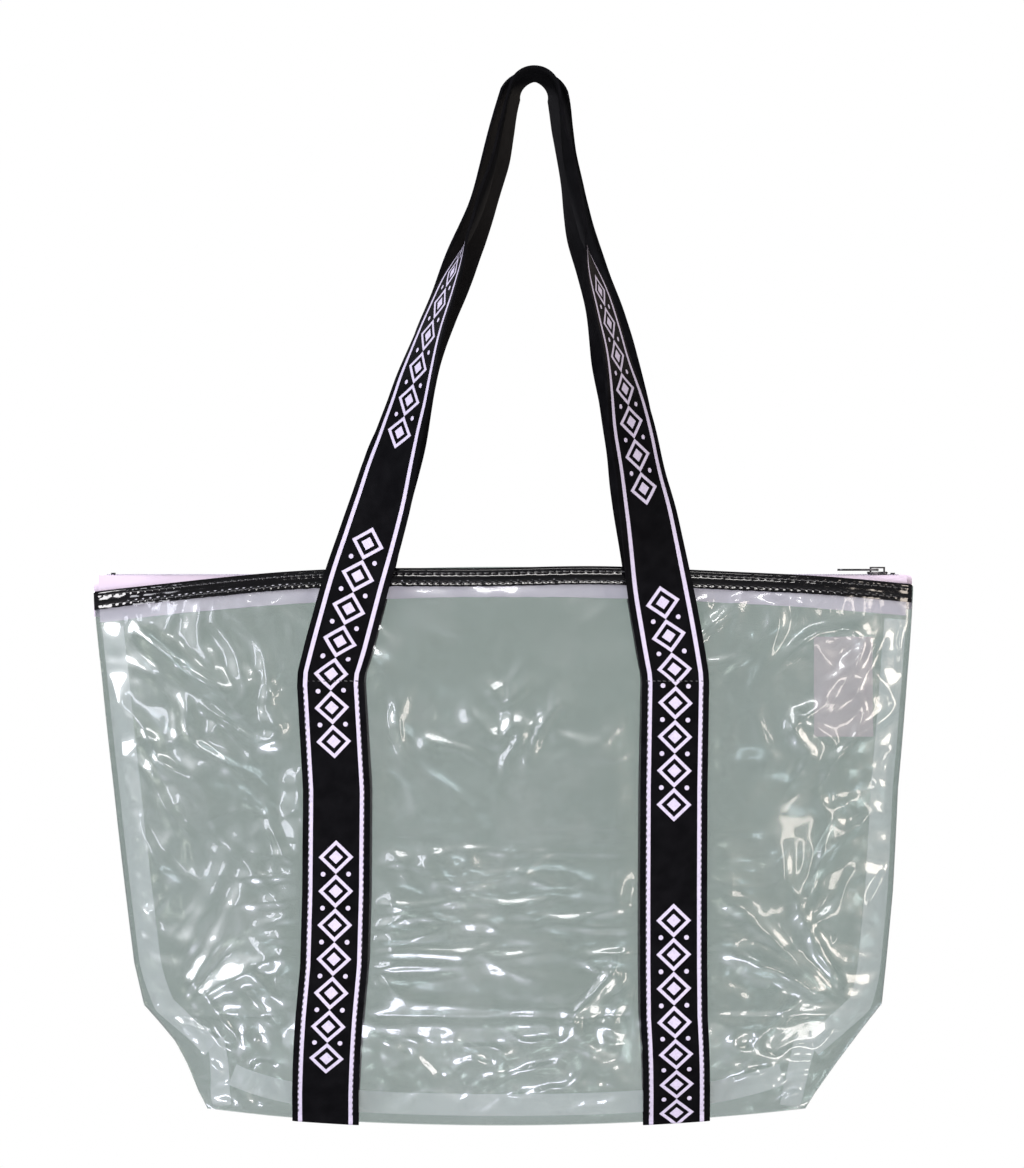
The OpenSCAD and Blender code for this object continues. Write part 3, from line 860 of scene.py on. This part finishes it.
def coil_part(offset):
    turns = int(ZIP_L / COIL_PITCH)
    a = np.linspace(0, 2 * np.pi * turns, turns * 10) + offset
    x = BAG_X - ZIP_L / 2 + 0.5 + (ZIP_L - 1) * np.linspace(0, 1, len(a))
    y = COIL_MIDDLE_Y + COIL_HALF[0] * np.cos(a)
    z = ZIP_Z + COIL_HALF[1] * np.sin(a)
    return tube(np.stack([x, y, z], -1), COIL_WIRE_R, 5)


def end_part(way, node):
    """The folded tape end: a rounded, slightly puffed flap that points outwards."""
    low, high = box_mm(node)
    w, h = high[0] - low[0], high[2] - low[2]
    corner_r = 3.5
    x, z = np.meshgrid(np.linspace(0, 1, 16), np.linspace(0, 1, 30), indexing="ij")
    up = z * h
    corner = np.clip(up - (h - corner_r), 0, corner_r)
    reach = w - corner_r + np.sqrt(np.clip(corner_r**2 - corner**2, 0, corner_r**2))
    out_x = x * reach
    px = low[0] + out_x if way > 0 else high[0] - out_x
    round_top = smooth(1 - z, 0, 0.12)
    puff = 0.25 + 1.5 * np.sqrt(z) * (1 - x**2) * round_top
    out = np.stack([px, -puff, low[2] + up], -1)
    inn = out * [1, -1, 1]
    if way > 0:
        out, inn = inn, out
    return slab(out, inn, uv_grid(out_x, up))


for side, back in (("front", False), ("back", True)):
    make(f"{side}_zip_tape_strip", [tape_part(31 + back)], TAPE, "bag",
         [f"{side}_zip_tape"], back=back)
    make(f"{side}_zip_coil", [coil_part(np.pi * back)], NYLON, "bag",
         [f"{side}_zip_teeth"], back=back, sharp=60)
for way, name in ((-1, "left"), (1, "right")):
    node = f"zip_end_tab_{name}"
    make(f"zip_end_{name}_fold", [end_part(way, node)], TAPE, "bag", [node])


def soften(node, body, mat, width):
    """The CAD node's shape with rolled edges, width millimetres wide."""
    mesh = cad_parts[node].data.copy()
    obj = bpy.data.objects.new(node + "_casting", mesh)
    bpy.context.scene.collection.objects.link(obj)
    mesh.materials.clear()
    mesh.materials.append(mat)
    weld = obj.modifiers.new("weld", "WELD")
    weld.merge_threshold = 0.00001
    bevel = obj.modifiers.new("rolled", "BEVEL")
    bevel.width = width * MM
    bevel.segments = 3
    bevel.limit_method = "ANGLE"
    bevel.angle_limit = math.radians(40)
    mesh.polygons.foreach_set("use_smooth", np.ones(len(mesh.polygons), bool))
    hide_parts(node)
    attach(obj, body)


soften("slider_body", "zip_slider", METAL, 0.22)
soften("pull_tab", "pull_tab", METAL, 0.22)
soften("zip_stop_left", "bag", METAL, 0.12)
soften("zip_stop_right", "bag", METAL, 0.12)

# ---------------------------------------------------------------------------
# Webbing: one continuous length on each face, sewn below the stitch line and free above

WEBBING = webbing()
FOOT_S = STITCH_DROP / BAG_H
FOOT_U = (STRAP_X - WEB_W / 2) / half_w(FOOT_S)
FOOT_Y = -(float(depth(FOOT_U, FOOT_S)) + WEB_OUT - WEB_T / 2)
CROWN_Z = WEB_T / 2 - CROWN_R
CROWN_FROM = 0.96
CROWN_STEPS = 22
TWIST_FROM, TWIST_TO = 0.06, 0.72
WEB_COLS = 15
STEP_MM = 2.6


def leg_angle(side):
    dx, dz = BAG_X + side * STRAP_X, CROWN_Z - STITCH_Z
    splay = math.atan(abs(dx) / dz) - math.asin(CROWN_R / math.hypot(dx, dz))
    return splay if side > 0 else math.pi - splay


def into_loop(a):
    return np.stack([-np.cos(a), -np.sin(a)], -1)


def free_stations():
    """Middle points, directions into the loop and shares of the way up, right foot to left foot."""
    crown = np.array([0.0, CROWN_Z])
    legs = []
    for side in (1, -1):
        a = leg_angle(side)
        foot = np.array([BAG_X + side * STRAP_X, STITCH_Z])
        top = crown - CROWN_R * into_loop(a)
        f = np.linspace(0, 1, int(np.linalg.norm(top - foot) / STEP_MM))
        n = np.repeat(into_loop(a)[None], len(f), 0)
        legs.append((foot + (top - foot) * f[:, None], n, f * CROWN_FROM))
    a = np.linspace(leg_angle(1), leg_angle(-1), CROWN_STEPS)[1:-1]
    around = np.abs(np.linspace(-1, 1, CROWN_STEPS)[1:-1])
    arch = (crown - CROWN_R * into_loop(a), into_loop(a), 1 - (1 - CROWN_FROM) * around)
    left = tuple(x[::-1] for x in legs[1])
    return tuple(np.concatenate(x) for x in zip(legs[0], arch, left))


def twist(f, front):
    """Degrees turned, from flat on the bag to flat on the hook. The back handle turns early,
    then slowly, and does its last part at the crown."""
    rise = np.clip((f - TWIST_FROM) / (TWIST_TO - TWIST_FROM), 0, 1)
    if front:
        return 90 * rise
    late = np.clip((f - TWIST_TO) / (CROWN_FROM - TWIST_TO), 0, 1)
    last = np.clip((f - CROWN_FROM) / (1 - CROWN_FROM), 0, 1)
    return 66 * (1 - np.power(1 - rise, 1.6)) + 8 * late + 16 * last


def ribbon(front, seed):
    """The free handle's middle line, and its width and face directions."""
    mid, n, f = free_stations()
    foot_f = 0.07
    flat = np.stack([np.sign(n[:, 0]), np.zeros(len(n))], -1)
    turn = np.clip(f / foot_f, 0, 1)[:, None]
    n = np.where(f[:, None] < foot_f, unit(flat * (1 - turn) + n * turn), n)
    run = np.arange(len(f)) * STEP_MM
    quiet = smooth(f, 0.03, 0.2) * (1 - smooth(f, 0.85, 0.95))
    lean_in = 4.6 * bell(f - 0.77, 0.14) * (1 - smooth(f, 0.9, 0.98))
    bow = 3.0 * np.sin(np.pi * f) - lean_in + 1.4 * perlin(run / 70, 0.2, seed) * quiet
    t = np.radians(twist(f, front)) + 0.16 * perlin(run / 55, 0.7, seed + 1) * quiet
    belly_out = 5 * np.sin(np.pi * np.clip(f / 0.5, 0, 1))
    y = FOOT_Y + (-HANDLE_DEPTH - FOOT_Y) * f - belly_out
    w = np.stack([n[:, 0] * np.cos(t), -np.sin(t), n[:, 1] * np.cos(t)], -1)
    face = np.stack([-n[:, 0] * np.sin(t), -np.cos(t), -n[:, 1] * np.sin(t)], -1)
    p = np.stack([mid[:, 0] - n[:, 0] * bow, y, mid[:, 1] - n[:, 1] * bow], -1)
    ripple = 0.5 * perlin(run / 26, 0.1, seed + 2) * quiet
    return p + face * ripple[:, None], w, face


def sewn_side(side, c, o):
    """Grid points of a sewn run, from under the base up to the stitch line, at offset o."""
    foot_s = float(share(across(BAG_X + side * STRAP_X, 0.3), STITCH_DROP + SHEET_BELOW_RIM))
    s = np.linspace(1, foot_s, int((1 - foot_s) * BAG_H / STEP_MM))
    x = BAG_X + side * STRAP_X - side * c
    rows = [surf(across(x, si), np.full_like(x, si), o) for si in s[2:]]
    u = across(x, 1.0)
    under = bottom(u) - o
    reach = depth(u, 1) + o
    bend_r = 2.4
    r = np.minimum(bend_r, reach)
    straight = np.maximum(reach - bend_r, 0.1)
    turn = [np.stack([x, np.full_like(x, -0.04), under], -1)]
    for a in np.linspace(0, np.pi / 2, 5):
        y = -(straight + r * np.sin(a))
        turn.append(np.stack([x, y, under + r * (1 - np.cos(a))], -1))
    return settle(np.array(turn + rows))


def webbing_part(front, seed):
    c = np.linspace(-1, 1, WEB_COLS)
    c = np.sign(c) * np.abs(c) ** 0.85 * WEB_W / 2
    from_edge = WEB_W / 2 - np.abs(c)
    selvedge = 0.12 * bell(from_edge, 1.2) - 0.18 * bell(from_edge, 0.3)
    mid, w, face = ribbon(front, seed)
    grids = []
    for way, o in ((1, WEB_OUT), (-1, WEB_IN)):
        half = way * (WEB_T / 2 + selvedge[None, :, None])
        free = mid[:, None] + w[:, None] * c[None, :, None] + face[:, None] * half
        right, left = (sewn_side(side, c, o + way * selvedge) for side in (1, -1))
        grids.append(np.concatenate([right, free[1:-1], left[::-1]]))
    centre = grids[0][:, WEB_COLS // 2]
    steps = np.linalg.norm(np.diff(centre, axis=0), axis=1)
    run = np.concatenate([[0], np.cumsum(steps)])
    uv = uv_grid(c[None] + WEB_W / 2, run[:, None])
    return slab(*(grid.transpose(1, 0, 2) for grid in (*grids, uv)))


def strap_stitch_parts():
    """Down the outer edge of both borders of each sewn run, and across its top."""
    parts = []
    row = WEB_W / 2 - BORDER_AT + 1.1
    top_z = STITCH_Z - 2.2
    ahead = 0.004
    for side in (-1, 1):
        middle = BAG_X + side * STRAP_X
        for edge in (-1, 1):
            x = middle + edge * row
            s = np.arange(share(0.4, RIM_Z - top_z + 1.5), 0.985, STRAP_PITCH / BAG_H)
            p, q = (settle(surf(across(x, at), at, WEB_OUT)) for at in (s, s + ahead))
            along = unit(q - p)
            normal = facing_front(unit(np.cross(along, [1.0, 0, 0])))
            parts.append(stitches(p, along, normal, 2.3, 0.62, 0.5))
        x = middle + np.arange(-row, row + 0.1, 3.2)
        u = across(x, 0.2)
        p = settle(surf(u, share(u, rim_top(u) - top_z), WEB_OUT))
        along = np.tile([1.0, 0, 0], (len(x), 1))
        normal = np.tile([0, -1.0, 0], (len(x), 1))
        parts.append(stitches(p, along, normal, 2.3, 0.7, 0.5))
    return parts


for side, back in (("front", False), ("back", True)):
    piece = make(f"{side}_webbing", [webbing_part(not back, 55 + 20 * back)], WEBBING, None,
                 [f"{side}_strap_left", f"{side}_strap_right", f"{side}_handle"],
                 back=back, sharp=55)
    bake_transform(piece)
    make(f"{side}_strap_stitches", strap_stitch_parts(), THREAD_BLACK, "bag",
         [f"{side}_strap_thread"], back=back, sharp=60)

# ---------------------------------------------------------------------------
# Seam tapes and label, inside

SEAM = cloth("seam_tape_white", (0.90, 0.88, 0.92), (0.80, 0.78, 0.84), 0.0012, 0.22, alpha=0.36)
LABEL = cloth("label_satin", (0.80, 0.66, 0.73), (0.66, 0.54, 0.62), 0.0007, 0.24, alpha=0.5,
              rough=0.5)
SEAM_W = 13.0
LABEL_HALF_T = 0.12


def tape_along(mid, wide, seed, wave, back=0.0):
    """A tape along mid (x, z) points whose width lies along x and z, waving in y."""
    d = unit(np.gradient(mid, axis=0))
    side = np.stack([-d[:, 1], d[:, 0]], -1)
    c = np.linspace(-0.5, 0.5, 9)
    xz = mid[:, None] + side[:, None] * c[None, :, None] * wide
    run = np.arange(len(mid))[:, None] * 2.0
    y = back + wave * perlin(run / 16, c[None] * 1.5, seed) + 0.25 * np.abs(c)[None] ** 2
    p = np.stack([xz[..., 0], y, xz[..., 1]], -1)
    half = np.array([0, TAPE_T / 2, 0])
    return slab(settle(p + half), settle(p - half), uv_grid(c[None] * wide, run))


def side_seam_line(way):
    s = np.linspace(share(way, TAPE_HEM + 3), 0.88, 130)
    inward = 9.5 + 12 * np.clip((s - 0.72) / 0.16, 0, 1) ** 2
    u = way * 0.95
    z = rim_top(u) + (bottom(u) - rim_top(u)) * s
    return np.stack([BAG_X + way * (half_w(s) - inward), z], -1)


def corner_seam_line(way, node):
    """Across the node's box, from its upper outer corner to its lower inner one."""
    low, high = box_mm(node)
    ends = (high[0] - SEAM_W / 2, low[0] + SEAM_W / 2)
    top_x, low_x = ends if way > 0 else ends[::-1]
    top_z = high[2] + 6
    t = np.linspace(0, 1, 18)
    return np.stack([top_x + (low_x - top_x) * t, top_z + (low[2] - top_z) * t], -1)


def bottom_seam_line(node):
    low, high = box_mm(node)
    v = np.linspace(-1, 1, 170)
    x = (low[0] + high[0]) / 2 + v * (high[0] - low[0]) / 2
    return np.stack([x, bottom(v * 0.8) + 12 + 12 * np.abs(v) ** 4], -1)


def label_part(node):
    low, high = box_mm(node)
    u, v = np.meshgrid(np.linspace(0, 1, 24), np.linspace(0, 1, 36), indexing="ij")
    curl = 3.0 * (1 - u) ** 2 + 1.2 * perlin(u * 2, v * 3, 97) * (1 - u)
    x, z = low[0] + u * (high[0] - low[0]), high[2] + v * (low[2] - high[2])
    mid = np.stack([x, curl, z], -1)
    half = np.array([0, LABEL_HALF_T, 0])
    return slab(settle(mid - half), settle(mid + half), uv_grid(u * 35, v * 60))


for way, name in ((-1, "left"), (1, "right")):
    node = f"side_seam_tape_{name}"
    seam = tape_along(side_seam_line(way), SEAM_W, 81 + way, 0.8)
    make(f"side_seam_{name}_fold", [seam], SEAM, "bag", [node])
    node = f"corner_seam_tape_{name}"
    seam = tape_along(corner_seam_line(way, node), SEAM_W * 0.95, 84 + way, 0.4, back=1.6)
    make(f"corner_seam_{name}_fold", [seam], SEAM, "bag", [node])
node = "bottom_seam_tape"
seam = tape_along(bottom_seam_line(node), SEAM_W, 90, 0.5)
make("bottom_seam_fold", [seam], SEAM, "bag", [node])
make("care_label_satin", [label_part("care_label")], LABEL, "bag", ["care_label"])
